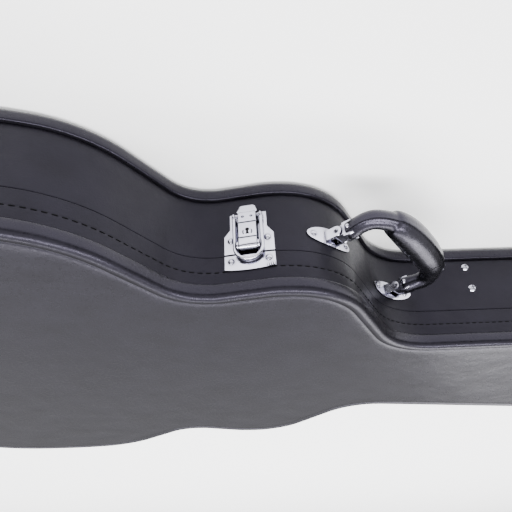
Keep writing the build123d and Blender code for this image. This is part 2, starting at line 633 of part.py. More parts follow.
# ---------------------------------------------------------------- handle
mount_planes = [front_place(at, HANDLE_HEIGHT) for at in MOUNT_STATIONS]
first, second = mount_planes[0].origin, mount_planes[1].origin
chord = first - second
chord_half = chord.length / 2
handle_plane = Plane(
    (first + second) * 0.5, x_dir=chord.normalized(), z_dir=chord.normalized().cross(Vector(0, 0, 1))
)
inside_case = slab(METAL / 2, 0, CASE_HEIGHT)
pivot_pins, links, mount_rivets, handle_rivets = [], [], [], []
for mount_name, station, sign in (("tail", MOUNT_STATIONS[0], 1), ("head", MOUNT_STATIONS[1], -1)):
    plane = front_place(station, HANDLE_HEIGHT)
    node = "handle_mount_" + mount_name
    mount = wall_plate(plane, Ellipse(MOUNT_LENGTH / 2, MOUNT_WIDTH / 2))
    centre = sign * chord_half
    near, far = LINK_WIDTH / 2 + EAR_GAP, LINK_WIDTH / 2 + EAR_GAP + EAR_THICK
    for side in (-1, 1):
        x = sorted((centre + side * near, centre + side * far))
        ear = handle_plane * block(x, (-LINK_EYE, LINK_EYE), (-6, PIVOT_OUT))
        ear = ear + cross_rod(handle_plane, 0, PIVOT_OUT, LINK_EYE, *x)
        mount = mount + (ear - inside_case)
    pin_hole = cross_rod(handle_plane, 0, PIVOT_OUT, PIVOT_PIN + RUNNING, centre - far - 1, centre + far + 1)
    parts[node] = mount - pin_hole
    pivot_pins.append(cross_rod(handle_plane, 0, PIVOT_OUT, PIVOT_PIN, centre - far - 0.3, centre + far + 0.3))
    for along in (-MOUNT_RIVET, MOUNT_RIVET):
        mount_rivets.append(rivet(front_place(station, HANDLE_HEIGHT, along), 0, 0, node, BASE_SHELL))
    # link: eye on the pin, then a socket that takes the strap's flat end
    x = (centre - LINK_WIDTH / 2, centre + LINK_WIDTH / 2)
    link = cross_rod(handle_plane, 0, PIVOT_OUT, LINK_EYE, *x)
    link = link + handle_plane * block(x, (-LINK_EYE, LINK_EYE), (PIVOT_OUT, LINK_BLOCK[0] + 1))
    link = link + handle_plane * block(x, (-LINK_DEPTH / 2, LINK_DEPTH / 2), LINK_BLOCK)
    inner_x = (x[0] + LINK_WALL, x[1] - LINK_WALL)
    inner_y = (-LINK_DEPTH / 2 + LINK_WALL, LINK_DEPTH / 2 - LINK_WALL)
    link = link - handle_plane * block(inner_x, inner_y, (LINK_BLOCK[0] + LINK_WALL, LINK_BLOCK[1] + 1))
    link = link - cross_rod(handle_plane, 0, PIVOT_OUT, PIVOT_PIN + RUNNING, x[0] - 1, x[1] + 1)
    rivet_out = (LINK_BLOCK[0] + LINK_BLOCK[1]) / 2 + 0.6
    rivet_hole = cross_rod(handle_plane, 0, rivet_out, RIVET_SHANK + HOLE_CLEARANCE, x[0] - 1, x[1] + 1)
    links.append(link - rivet_hole)
    shank = cross_rod(handle_plane, 0, rivet_out, RIVET_SHANK, *x)
    for side in (-1, 1):
        cheek = handle_plane * Pos(centre + side * LINK_WIDTH / 2, 0, rivet_out) * Rot(0, 90 * side, 0)
        shank = shank + cheek * dome(RIVET_HEAD, RIVET_RISE)
    handle_rivets.append(shank)

strap_points = (
    (chord_half, STRAP_START),
    (chord_half + STRAP_KNEE[0], STRAP_KNEE[1]),
    (STRAP_TOP_HALF, STRAP_TOP),
)
strap_points = [*strap_points, *[(-s, w) for s, w in reversed(strap_points)]]
strap_line = FilletPolyline(*[(s, 0, w) for s, w in strap_points], radius=STRAP_ROUND)
start_plane = Plane(strap_line @ 0, z_dir=strap_line % 0)
strap = sweep(start_plane * Circle(STRAP_RADIUS), path=strap_line)
for sign in (-1, 1):
    centre = sign * chord_half
    tongue_x = (centre - LINK_WIDTH / 2 + LINK_WALL + SOCKET_CLEARANCE,
                centre + LINK_WIDTH / 2 - LINK_WALL - SOCKET_CLEARANCE)
    tongue_half = LINK_DEPTH / 2 - LINK_WALL - SOCKET_CLEARANCE
    # trim the round strap to start above the link, then add the flat end inside the socket
    strap = strap - block((centre - 20, centre + 20), (-20, 20), (0, LINK_BLOCK[1] + SOCKET_CLEARANCE))
    strap = strap + block(tongue_x, (-tongue_half, tongue_half),
                          (LINK_BLOCK[0] + LINK_WALL + SOCKET_CLEARANCE, LINK_BLOCK[1] + 3))
    hole_at = (LINK_BLOCK[0] + LINK_BLOCK[1]) / 2 + 0.6
    strap = strap - Pos(centre, 0, hole_at) * Rot(0, 90, 0) * Cylinder(
        RIVET_SHANK + HOLE_CLEARANCE, LINK_WIDTH + 2
    )
grip = Pos(0, 0, STRAP_TOP) * Rot(0, 90, 0) * Cylinder(GRIP_RADIUS, 2 * GRIP_HALF)
grip = fillet(grip.edges().filter_by(GeomType.CIRCLE), GRIP_ROUND) - strap
# the handle's own frame has z away from the case; its y is the case's height
parts["handle_strap"] = handle_plane * strap
parts["handle_grip"] = handle_plane * grip
parts["handle_links"] = Compound(links)
parts["handle_pivot_pins"] = Compound(pivot_pins)
parts["handle_mount_rivets"] = Compound(mount_rivets)
parts["handle_rivets"] = Compound(handle_rivets)

# ---------------------------------------------------------------- centre and write
whole = Compound([shape for part in parts.values() for shape in part.solids()]).bounding_box()
centring = Vector(-(whole.min.X + whole.max.X) / 2, -(whole.min.Y + whole.max.Y) / 2, -whole.min.Z)
for name, part in parts.items():
    solids = part.solids()
    placed = Pos(*centring) * (solids[0] if len(solids) == 1 else Compound(solids))
    export_step(placed, f"parts/{name}.step")
print(len(parts), "nodes; moved by", centring, "size", whole.size)
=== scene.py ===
# %% [markdown]
# A hard-shell guitar case lies on a pale floor. Plywood walls and panels are covered in black grained
# vinyl, and the latches, hinges and handle fittings are chromed steel. The construction comes in as a
# fixed frame, and every piece below is shaped around it.

# %% Load the frame
import json
import math

import bmesh
import bpy
from mathutils import Matrix, Vector


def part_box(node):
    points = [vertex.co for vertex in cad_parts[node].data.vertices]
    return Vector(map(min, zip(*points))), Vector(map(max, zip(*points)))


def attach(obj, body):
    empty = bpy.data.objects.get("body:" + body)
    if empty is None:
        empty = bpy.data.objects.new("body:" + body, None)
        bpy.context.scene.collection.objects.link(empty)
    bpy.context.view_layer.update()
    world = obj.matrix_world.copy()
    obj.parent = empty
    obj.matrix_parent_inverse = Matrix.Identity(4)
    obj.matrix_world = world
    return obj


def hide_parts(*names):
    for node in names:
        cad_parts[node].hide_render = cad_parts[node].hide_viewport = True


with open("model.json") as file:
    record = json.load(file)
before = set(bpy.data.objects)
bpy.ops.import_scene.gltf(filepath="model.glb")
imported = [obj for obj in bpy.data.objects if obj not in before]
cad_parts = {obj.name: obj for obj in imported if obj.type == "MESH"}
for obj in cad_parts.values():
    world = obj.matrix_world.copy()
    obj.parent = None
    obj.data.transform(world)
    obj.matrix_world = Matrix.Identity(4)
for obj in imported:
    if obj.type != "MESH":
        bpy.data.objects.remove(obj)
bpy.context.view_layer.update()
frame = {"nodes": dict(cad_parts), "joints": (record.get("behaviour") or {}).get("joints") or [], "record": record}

MM = 0.001
joints = {joint["name"]: joint for joint in frame["joints"]}
UP = Vector((0, 0, 1))

# %% [markdown]
# The camera looks at the front wall from above the lid, turned over so that the headstock end runs to
# the right. The light is a white room with four soft panels: a strip overhead, one beyond the headstock
# end, and two aimed at the floor in front of the case and behind it.

# %% Camera, floor and light
CAMERA_RIGHT = Vector((-0.99332, -0.10436, 0.04933))
CAMERA_UP = Vector((0.02039, -0.57930, -0.81486))
CAMERA_OUT = 0.4625
CAMERA_HEIGHT = 0.2871
LENS = 34.78
WAIST_TO_TAIL = 370.4
wall_low, wall_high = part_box("base_wall_cover")
WAIST_X = wall_high.x - WAIST_TO_TAIL * MM
WALL_MIDDLE_Y = (wall_low.y + wall_high.y) / 2
camera_data = bpy.data.cameras.new("camera")
camera_data.lens = LENS
camera_data.clip_start = 0.01
camera = bpy.data.objects.new("camera", camera_data)
bpy.context.scene.collection.objects.link(camera)
back = CAMERA_RIGHT.cross(CAMERA_UP)
turn = Matrix((CAMERA_RIGHT, CAMERA_UP, back)).transposed().to_4x4()
camera_place = (WAIST_X, WALL_MIDDLE_Y - CAMERA_OUT, CAMERA_HEIGHT)
camera.matrix_world = Matrix.Translation(camera_place) @ turn
bpy.context.scene.camera = camera


def deselect():
    bpy.ops.object.select_all(action="DESELECT")


def add_panel_light(name, place, target, size, power):
    light = bpy.data.lights.new(name, "AREA")
    light.shape = "RECTANGLE"
    light.size, light.size_y = size
    light.energy = power
    lamp = bpy.data.objects.new(name, light)
    bpy.context.scene.collection.objects.link(lamp)
    lamp.location = place
    lamp.rotation_euler = (Vector(target) - Vector(place)).to_track_quat("-Z", "Y").to_euler()


add_panel_light("overhead_strip", (0.15, -0.55, 1.7), (0.15, -0.1, 0), (2.6, 0.2), 70)
add_panel_light("headstock_panel", (-1.5, 1.3, 1.5), (-0.1, 0, 0), (1.4, 1.0), 26)
add_panel_light("front_floor_panel", (0.3, -2.6, 1.5), (0.2, -0.9, 0), (3.0, 0.8), 10)
add_panel_light("rear_floor_panel", (0.1, 0.75, 1.3), (0.1, 1.4, 0), (3.0, 0.6), 60)
world = bpy.data.worlds.new("studio")
bpy.context.scene.world = world
world.use_nodes = True
# height of the direction, and the grey that it shows
SKY = ((0.0, 0.06), (0.14, 0.14), (0.34, 0.75), (0.6, 1.3), (1.0, 2.1))
SKY_STRENGTH = 1.35
world_tree = world.node_tree
direction = world_tree.nodes.new("ShaderNodeTexCoord")
height_of = world_tree.nodes.new("ShaderNodeSeparateXYZ")
sky_ramp = world_tree.nodes.new("ShaderNodeValToRGB")
stops = sky_ramp.color_ramp.elements
stops[0].position = SKY[0][0]
stops[1].position = SKY[-1][0]
for stop_height, _ in SKY[1:-1]:
    stops.new(stop_height)
for element, (_, grey) in zip(stops, SKY):
    element.color = (grey, grey, grey * 1.01, 1)
world_tree.links.new(direction.outputs["Generated"], height_of.inputs[0])
world_tree.links.new(height_of.outputs["Z"], sky_ramp.inputs[0])
world_tree.links.new(sky_ramp.outputs[0], world_tree.nodes["Background"].inputs["Color"])
world_tree.nodes["Background"].inputs["Strength"].default_value = SKY_STRENGTH
deselect()
bpy.ops.mesh.primitive_plane_add(size=12, location=(0, 0, -0.0006))
floor = bpy.context.object
floor.name = "floor"
print("camera and light are set")

# %% [markdown]
# Each finish starts from its real material. One function turns sRGB hex into the linear values that
# the shader wants, and one adds a node with its settings and links.

# %% Helpers for materials


def linear(hex_colour):
    """sRGB hex text to linear RGBA."""
    channels = [int(hex_colour[i:i + 2], 16) / 255 for i in (1, 3, 5)]
    curve = [c / 12.92 if c <= 0.04045 else ((c + 0.055) / 1.055) ** 2.4 for c in channels]
    return (*curve, 1.0)


def add_node(tree, kind, values=None, **settings):
    """Adds a node; values maps an input's name or number to a value or to another node's output."""
    made = tree.nodes.new(kind)
    for key, value in settings.items():
        setattr(made, key, value)
    for key, value in (values or {}).items():
        if isinstance(value, bpy.types.NodeSocket):
            tree.links.new(value, made.inputs[key])
        else:
            made.inputs[key].default_value = value
    return made


def new_material(name, **shader_values):
    material = bpy.data.materials.new(name)
    material.use_nodes = True
    tree = material.node_tree
    tree.nodes.clear()
    inputs = {key.replace("_", " "): value for key, value in shader_values.items()}
    shader = add_node(tree, "ShaderNodeBsdfPrincipled", inputs)
    output = add_node(tree, "ShaderNodeOutputMaterial")
    tree.links.new(shader.outputs[0], output.inputs[0])
    return material, tree, shader


def colour_ramp(tree, factor, stops):
    ramp = add_node(tree, "ShaderNodeValToRGB", {0: factor})
    first, last = ramp.color_ramp.elements
    first.position, first.color = stops[0][0], linear(stops[0][1])
    last.position, last.color = stops[-1][0], linear(stops[-1][1])
    for position, colour in stops[1:-1]:
        ramp.color_ramp.elements.new(position).color = linear(colour)
    return ramp.outputs[0]


# %% [markdown]
# Case vinyl is PVC on a woven back, embossed with a pebble grain of about one millimetre. Voronoi cells
# make the pebbles, and a slow noise makes the hand-laid waviness that breaks up long reflections.

# %% Black grained vinyl
GRAIN_MM = 1.1
GRAIN_DEPTH_MM = 0.35
WAVE_MM = 28.0
WAVE_DEPTH_MM = 2.5


def grained_vinyl(name, dark, light, roughness, grain_strength, wave_strength=0.25, specular=0.3):
    material, tree, shader = new_material(
        name, Roughness=roughness, IOR=1.5, Specular_IOR_Level=specular
    )
    shader.inputs["Specular Tint"].default_value = linear("#e6dfff")
    place = add_node(tree, "ShaderNodeTexCoord").outputs["Object"]
    pebbles = add_node(
        tree, "ShaderNodeTexVoronoi", {"Vector": place, "Scale": 1 / (GRAIN_MM * MM), "Randomness": 0.9},
        feature="SMOOTH_F1",
    )
    creases = add_node(
        tree, "ShaderNodeTexNoise",
        {"Vector": place, "Scale": 0.45 / (GRAIN_MM * MM), "Detail": 4.0, "Roughness": 0.6},
    )
    waves = add_node(
        tree, "ShaderNodeTexNoise", {"Vector": place, "Scale": 1 / (WAVE_MM * MM), "Detail": 2.0}
    )
    height = add_node(
        tree, "ShaderNodeMix", {0: 0.5, 2: pebbles.outputs["Distance"], 3: creases.outputs[0]}
    )
    fine = add_node(
        tree, "ShaderNodeBump",
        {"Height": height.outputs[0], "Strength": grain_strength, "Distance": GRAIN_DEPTH_MM * MM},
    )
    slow = add_node(
        tree, "ShaderNodeBump",
        {
            "Height": waves.outputs[0], "Strength": wave_strength, "Distance": WAVE_DEPTH_MM * MM,
            "Normal": fine.outputs[0],
        },
    )
    tint = colour_ramp(tree, waves.outputs[0], ((0.3, dark), (0.7, light)))
    tree.links.new(tint, shader.inputs["Base Color"])
    rough = add_node(
        tree, "ShaderNodeMapRange",
        {0: creases.outputs[0], 1: 0.3, 2: 0.7, 3: roughness - 0.07, 4: roughness + 0.07},
    )
    tree.links.new(rough.outputs[0], shader.inputs["Roughness"])
    tree.links.new(slow.outputs[0], shader.inputs["Normal"])
    return material


wall_vinyl = grained_vinyl("black_grained_pvc_vinyl", "#0c0b0f", "#121116", 0.4, 0.3, specular=0.14)
face_vinyl = grained_vinyl("black_grained_pvc_vinyl_face", "#0c0b0e", "#111014", 0.31, 0.3, 0.3, 0.24)
handle_vinyl = grained_vinyl("black_smooth_handle_vinyl", "#050506", "#08080a", 0.25, 0.4, 0.3, 0.4)
print("vinyl grain is", GRAIN_MM, "mm")

# %% [markdown]
# The fittings are pressed steel with bright chrome over nickel: a metal with a nearly mirror finish,
# a little cloudy where fingers touch, and its colour is darkened in the crevices as painted shade.

# %% Chrome, thread, plywood and plush
PAINTED_SHADE_REACH_MM = 2.6


def polished_chrome():
    material, tree, shader = new_material("polished_chrome_plate", Metallic=1.0)
    place = add_node(tree, "ShaderNodeTexCoord").outputs["Object"]
    cloud = add_node(tree, "ShaderNodeTexNoise", {"Vector": place, "Scale": 260.0, "Detail": 3.0})
    # Ambient occlusion darkens the chrome's base colour in crevices and gaps: painted shade.
    crevice_shade = add_node(tree, "ShaderNodeAmbientOcclusion", {"Distance": PAINTED_SHADE_REACH_MM * MM}, samples=8)
    shade_tones = ((0.45, "#08080b"), (0.8, "#6f6e7a"), (0.98, "#bebdca"))
    tint = colour_ramp(tree, crevice_shade.outputs["AO"], shade_tones)
    tree.links.new(tint, shader.inputs["Base Color"])
    rough = add_node(tree, "ShaderNodeMapRange", {0: cloud.outputs[0], 1: 0.3, 2: 0.7, 3: 0.07, 4: 0.2})
    tree.links.new(rough.outputs[0], shader.inputs["Roughness"])
    ripple = add_node(
        tree, "ShaderNodeBump", {"Height": cloud.outputs[0], "Strength": 0.12, "Distance": 0.3 * MM}
    )
    tree.links.new(ripple.outputs[0], shader.inputs["Normal"])
    return material


def waxed_thread():
    material, tree, shader = new_material(
        "black_waxed_polyester_thread", Roughness=0.85, Specular_IOR_Level=0.1
    )
    place = add_node(tree, "ShaderNodeTexCoord").outputs["Object"]
    twist = add_node(tree, "ShaderNodeTexNoise", {"Vector": place, "Scale": 1500.0, "Detail": 2.0})
    tint = colour_ramp(tree, twist.outputs[0], ((0.3, "#020202"), (0.7, "#050506")))
    tree.links.new(tint, shader.inputs["Base Color"])
    return material


def birch_plywood():
    material, tree, shader = new_material("sanded_birch_plywood", Roughness=0.6)
    place = add_node(tree, "ShaderNodeTexCoord").outputs["Object"]
    stretched = add_node(tree, "ShaderNodeMapping", {"Vector": place, "Scale": (8.0, 90.0, 400.0)})
    grain = add_node(
        tree, "ShaderNodeTexNoise", {"Vector": stretched.outputs[0], "Scale": 3.0, "Detail": 6.0}
    )
    tint = colour_ramp(tree, grain.outputs[0], ((0.3, "#8a6a42"), (0.55, "#b08d5e"), (0.7, "#c2a276")))
    tree.links.new(tint, shader.inputs["Base Color"])
    bump = add_node(
        tree, "ShaderNodeBump", {"Height": grain.outputs[0], "Strength": 0.2, "Distance": 0.2 * MM}
    )
    tree.links.new(bump.outputs[0], shader.inputs["Normal"])
    return material


def plush_pile(name, dark, light):
    material, tree, shader = new_material(name, Roughness=0.95, Sheen_Weight=0.6, Sheen_Roughness=0.4)
    place = add_node(tree, "ShaderNodeTexCoord").outputs["Object"]
    tufts = add_node(
        tree, "ShaderNodeTexNoise", {"Vector": place, "Scale": 900.0, "Detail": 4.0, "Roughness": 0.7}
    )
    brushed = add_node(tree, "ShaderNodeTexNoise", {"Vector": place, "Scale": 24.0, "Detail": 3.0})
    both = add_node(tree, "ShaderNodeMix", {0: 0.45, 2: tufts.outputs[0], 3: brushed.outputs[0]})
    tint = colour_ramp(tree, both.outputs[0], ((0.35, dark), (0.65, light)))
    tree.links.new(tint, shader.inputs["Base Color"])
    bump = add_node(
        tree, "ShaderNodeBump", {"Height": both.outputs[0], "Strength": 0.7, "Distance": 1.2 * MM}
    )
    tree.links.new(bump.outputs[0], shader.inputs["Normal"])
    return material


def matt_floor():
    material, tree, shader = new_material("matt_white_floor", Roughness=0.9, Emission_Strength=0.25)
    shader.inputs["Emission Color"].default_value = linear("#ffffff")
    place = add_node(tree, "ShaderNodeTexCoord").outputs["Object"]
    mottle = add_node(tree, "ShaderNodeTexNoise", {"Vector": place, "Scale": 2.0})
    tint = colour_ramp(tree, mottle.outputs[0], ((0.2, "#f4f4f5"), (0.8, "#f8f8f8")))
    tree.links.new(tint, shader.inputs["Base Color"])
    return material


chrome = polished_chrome()
thread = waxed_thread()
plywood = birch_plywood()
plush = plush_pile("black_plush_pile", "#0b0b0d", "#24242a")
floor.data.materials.append(matt_floor())
print(len(bpy.data.materials), "materials")

# %% [markdown]
# The outline repeats the case's own dimensions: straight lines joined by tangent arcs. It is walked at
# even steps, and each step keeps its outward direction, so that any profile can be laid along it.

# %% Outline of the case
BOUT, WAIST, UPPER, NECK = 230.3, 153.7, 166.2, 74.2
TAIL_AT, HEAD_AT = -WAIST_TO_TAIL, 735.0
TAIL_CORNER_AT, HINGE_LINE_AT, FLARE_AT = -300.7, -147.9, 207.5
TAIL_CORNER, HINGE_LINE, BOUT_SLOPE, UPPER_SLOPE, SHOULDER, FLARE = (
    math.tan(math.radians(angle)) for angle in (65.0, 9.3, 43.5, 15.4, 54.3, 5.03)
)
BOUT_SLOPE_AT, BOUT_SLOPE_HALF, UPPER_SLOPE_AT, SHOULDER_AT = -38.0, 176.6, 34.5, 138.8
CORNER_RADII = (232.0, 174.0, 345.0, 119.0, 43.0, 43.0, 90.0, 68.0, 60.0, 60.0, 60.0, 45.0)
STEP = 3.6


def hinge_half(station):
    return BOUT - HINGE_LINE * (station - HINGE_LINE_AT)


rise, drop = (UPPER - WAIST) / 2 / UPPER_SLOPE, (UPPER - NECK) / 2 / SHOULDER
onto_slope = (BOUT_SLOPE_HALF + BOUT_SLOPE * BOUT_SLOPE_AT - hinge_half(0)) / (BOUT_SLOPE - HINGE_LINE)
knee_at = (hinge_half(0) - NECK + FLARE * FLARE_AT) / (FLARE + HINGE_LINE)
corners = [
    (TAIL_AT, BOUT - (TAIL_CORNER_AT - TAIL_AT) * TAIL_CORNER),
    (TAIL_CORNER_AT, BOUT),
    (HINGE_LINE_AT, BOUT),
    (onto_slope, hinge_half(onto_slope)),
    (BOUT_SLOPE_AT + (BOUT_SLOPE_HALF - WAIST) / BOUT_SLOPE, WAIST),
    (UPPER_SLOPE_AT - rise, WAIST),
    (UPPER_SLOPE_AT + rise, UPPER),
    (SHOULDER_AT - drop, UPPER),
    (SHOULDER_AT + drop, NECK),
    (FLARE_AT, NECK),
    (knee_at, hinge_half(knee_at)),
    (HEAD_AT, hinge_half(HEAD_AT)),
]
corners = [Vector((WAIST_X / MM - s, WALL_MIDDLE_Y / MM - h)) for s, h in corners]
corners += [Vector((c.x, 2 * WALL_MIDDLE_Y / MM - c.y)) for c in reversed(corners)]
all_radii = [*CORNER_RADII, *reversed(CORNER_RADII)]


def walk_outline():
    """Points and outward directions along the outline, from the tail along the front and back."""
    steps = []
    count = len(corners)
    ends = []
    for i, corner in enumerate(corners):
        before = (corner - corners[i - 1]).normalized()
        after = (corners[(i + 1) % count] - corner).normalized()
        turn_angle = math.atan2(before.x * after.y - before.y * after.x, before.dot(after))
        reach = all_radii[i] * math.tan(abs(turn_angle) / 2)
        start, finish = corner - before * reach, corner + after * reach
        ends.append((start, finish, before, after, turn_angle, all_radii[i]))
    for i, (start, finish, before, after, turn_angle, radius) in enumerate(ends):
        side = 1 if turn_angle > 0 else -1
        centre = start + Vector((-before.y, before.x)) * radius * side
        pieces = max(2, round(abs(turn_angle) * radius / STEP))
        for k in range(pieces):
            swing = Matrix.Rotation(turn_angle * k / pieces, 2)
            point = centre + swing @ (start - centre)
            heading = swing @ before
            steps.append((point, Vector((-heading.y, heading.x))))
        following = ends[(i + 1) % count][0]
        length = (following - finish).length
        pieces = max(1, round(length / STEP))
        for k in range(pieces):
            steps.append((finish.lerp(following, k / pieces), Vector((-after.y, after.x))))
    return steps


outline = walk_outline()
middle = sum((p for p, _ in outline), Vector((0, 0))) / len(outline)
outward = 1 if sum(n.dot(p - middle) for p, n in outline) > 0 else -1
outline = [(p, n * outward) for p, n in outline]
perimeter = sum((outline[i][0] - outline[i - 1][0]).length for i in range(len(outline)))
print(len(outline), "steps round the case,", round(perimeter), "mm")

# %% [markdown]
# Every long piece of the shell is one profile carried round the outline. A grid primitive gives the
# rows and columns: its columns are laid on the outline's steps and its rows on the profile's points,
# and merging the doubled column closes the ring.

# %% Helpers that model


def finish_mesh(piece, smooth_angle=35.0):
    """Merges doubles, turns faces outwards, and shades smooth with sharp edges kept."""
    deselect()
    piece.select_set(True)
    bpy.context.view_layer.objects.active = piece
    bpy.ops.object.mode_set(mode="EDIT")
    bpy.ops.mesh.select_all(action="SELECT")
    bpy.ops.mesh.remove_doubles(threshold=0.000005)
    bpy.ops.mesh.normals_make_consistent(inside=False)
    bpy.ops.object.mode_set(mode="OBJECT")
    bpy.ops.object.shade_smooth_by_angle(angle=math.radians(smooth_angle))


def settle(piece, body, material, slot_name, *nodes):
    """Gives a piece its finish, its body, and the CAD nodes that it stands for."""
    piece.data.materials.clear()
    piece.data.materials.append(material)
    if nodes:
        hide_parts(*nodes)
    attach(piece, body)
    print(piece.name, len(piece.data.polygons), "faces")
    return piece


def grid(name, columns, rows):
    """A grid primitive with this many vertices each way, named."""
    deselect()
    bpy.ops.mesh.primitive_grid_add(x_subdivisions=columns - 1, y_subdivisions=rows - 1, size=1)
    piece = bpy.context.object
    piece.name = piece.data.name = name
    return piece


def on_outline(step, distance, height):
    point, out = outline[step % len(outline)]
    return Vector((point.x + out.x * distance, point.y + out.y * distance, height)) * MM


def sweep_profile(name, profile, closed=True):
    """Carries (distance from the wall, height) points round the case, in mm."""
    rows = profile + [profile[0]] if closed else profile
    columns = len(outline) + 1
    piece = grid(name, columns, len(rows))
    for j, (distance, height) in enumerate(rows):
        for i in range(columns):
            piece.data.vertices[j * columns + i].co = on_outline(i, distance, height)
    return piece


def fill_ring(piece, profile_point):
    """Fills the ring that one point of the profile made round the case with a face."""
    bpy.ops.object.mode_set(mode="EDIT")
    bpy.ops.mesh.select_all(action="DESELECT")
    bpy.ops.object.mode_set(mode="OBJECT")
    ring = {tuple(round(c, 6) for c in on_outline(i, *profile_point)) for i in range(len(outline))}
    for vertex in piece.data.vertices:
        vertex.select = tuple(round(c, 6) for c in vertex.co) in ring
    bpy.ops.object.mode_set(mode="EDIT")
    bpy.ops.mesh.select_mode(type="VERT")
    bpy.ops.mesh.edge_face_add()
    bpy.ops.object.mode_set(mode="OBJECT")


def add_bevel(piece, width_mm, segments, angle):
    """Rounds the edges that turn by more than the angle; the piece has to be the active one."""
    bevel = piece.modifiers.new("edge", "BEVEL")
    bevel.width = width_mm * MM
    bevel.segments = segments
    bevel.angle_limit = math.radians(angle)
    bpy.ops.object.modifier_apply(modifier="edge")


def arc(centre, radius, start, end, count):
    """Points on an arc in the profile's plane, angles in degrees."""
    angles = [math.radians(start + (end - start) * k / count) for k in range(count + 1)]
    return [(centre[0] + radius * math.cos(a), centre[1] + radius * math.sin(a)) for a in angles]


# %% [markdown]
# The rim is vinyl pulled over a rounded wooden bead. Its side is nearly upright, its top corner is
# round, and a shallow crease divides it from the face. The field of the face closes the inner ring, and
# a hidden face against the plywood closes the ring underneath.

# %% Rolled rims and faces
CASE_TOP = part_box("lid_face_cover")[1].z / MM
RIM = 12.5
OVERHANG = 3.0
ROLL = 5.6
CREASE_AT = -6.2


def rim_profile():
    """Profile of the upper face cover, from the inner edge of the field round to its underside."""
    top = CASE_TOP
    low = top - RIM
    under = [(-0.6, low), (OVERHANG - 1.6, low)]
    corner = arc((OVERHANG - 1.6, low + 1.6), 1.6, -90, -8, 5)
    side = [(OVERHANG + 0.12, low + 4.0)]
    roll = arc((OVERHANG - ROLL, top - ROLL), ROLL, 0, 90, 14)
    shoulder = [(CREASE_AT + 2.6, top - 0.04), (CREASE_AT + 1.3, top - 0.3), (CREASE_AT + 0.7, top - 0.62)]
    crease = [(CREASE_AT + 0.2, top - 0.86), (CREASE_AT - 0.3, top - 0.86), (CREASE_AT - 0.8, top - 0.66)]
    field = [(CREASE_AT - 1.8, top - 0.4), (CREASE_AT - 4.0, top - 0.18), (CREASE_AT - 9.0, top - 0.1)]
    return under + corner + side + roll + shoulder + crease + field


lid_profile = rim_profile()


def face_piece(name, body, node, lower):
    profile = [(d, CASE_TOP - z) for d, z in lid_profile] if lower else lid_profile
    piece = sweep_profile(name, profile, closed=False)
    finish_mesh(piece)
    fill_ring(piece, profile[-1])
    fill_ring(piece, profile[0])
    finish_mesh(piece, 40)
    settle(piece, body, face_vinyl, "black_vinyl", node)


face_piece("lid_face_vinyl", "lid", "lid_face_cover", lower=False)
face_piece("base_face_vinyl", "base", "base_face_cover", lower=True)

# %% [markdown]
# The wall vinyl turns in at the parting line, where a narrow gap shows dark, and tucks into a groove
# under each rim. On the lid a row of stitches holds the inner tongue, and the thread pulls a furrow.

# %% Wall covers and the stitched line
PARTING = 69.7
PARTING_GAP = 0.06
STITCH_AT = 83.2
SKIN = 1.0
LID_EDGE = 0.25
BASE_EDGE = 0.95
lid_low, lid_high = PARTING + PARTING_GAP, CASE_TOP - RIM
base_low, base_high = RIM, PARTING - PARTING_GAP
lid_wall_profile = (
    [(-SKIN, lid_low), (-LID_EDGE, lid_low)]
    + arc((-LID_EDGE, lid_low + LID_EDGE), LID_EDGE, -90, 0, 4)
    + [(0, lid_low + 1), (0, STITCH_AT - 2.0), (0, STITCH_AT - 1.4)]
    + [(-0.12, STITCH_AT - 0.5), (-0.16, STITCH_AT)]
    + [(-0.12, STITCH_AT + 0.5), (0, STITCH_AT + 1.4), (0, STITCH_AT + 2.0), (0, lid_high - 2.0)]
    + [(0, lid_high - 1.4), (-0.12, lid_high - 0.6), (-0.5, lid_high - 0.1), (-SKIN, lid_high)]
)
base_wall_profile = (
    [(-SKIN, base_low), (-0.8, base_low), (-0.6, base_low + 0.7)]
    + [(-0.15, base_low + 1.6), (0, base_low + 2.6)]
    + [(0, 30), (0, 50), (0, base_high - 1.6)]
    + arc((-BASE_EDGE, base_high - BASE_EDGE), BASE_EDGE, 0, 88, 6)
    + [(-SKIN, base_high)]
)
for wall_name, wall_body, wall_node, profile in (
    ("lid_wall_vinyl", "lid", "lid_wall_cover", lid_wall_profile),
    ("base_wall_vinyl", "base", "base_wall_cover", base_wall_profile),
):
    wall = sweep_profile(wall_name, profile)
    finish_mesh(wall, 50)
    settle(wall, wall_body, wall_vinyl, "black_vinyl", wall_node)

STITCH_PITCH = 6.2
STITCH_LENGTH = 4.0
THREAD = 0.42


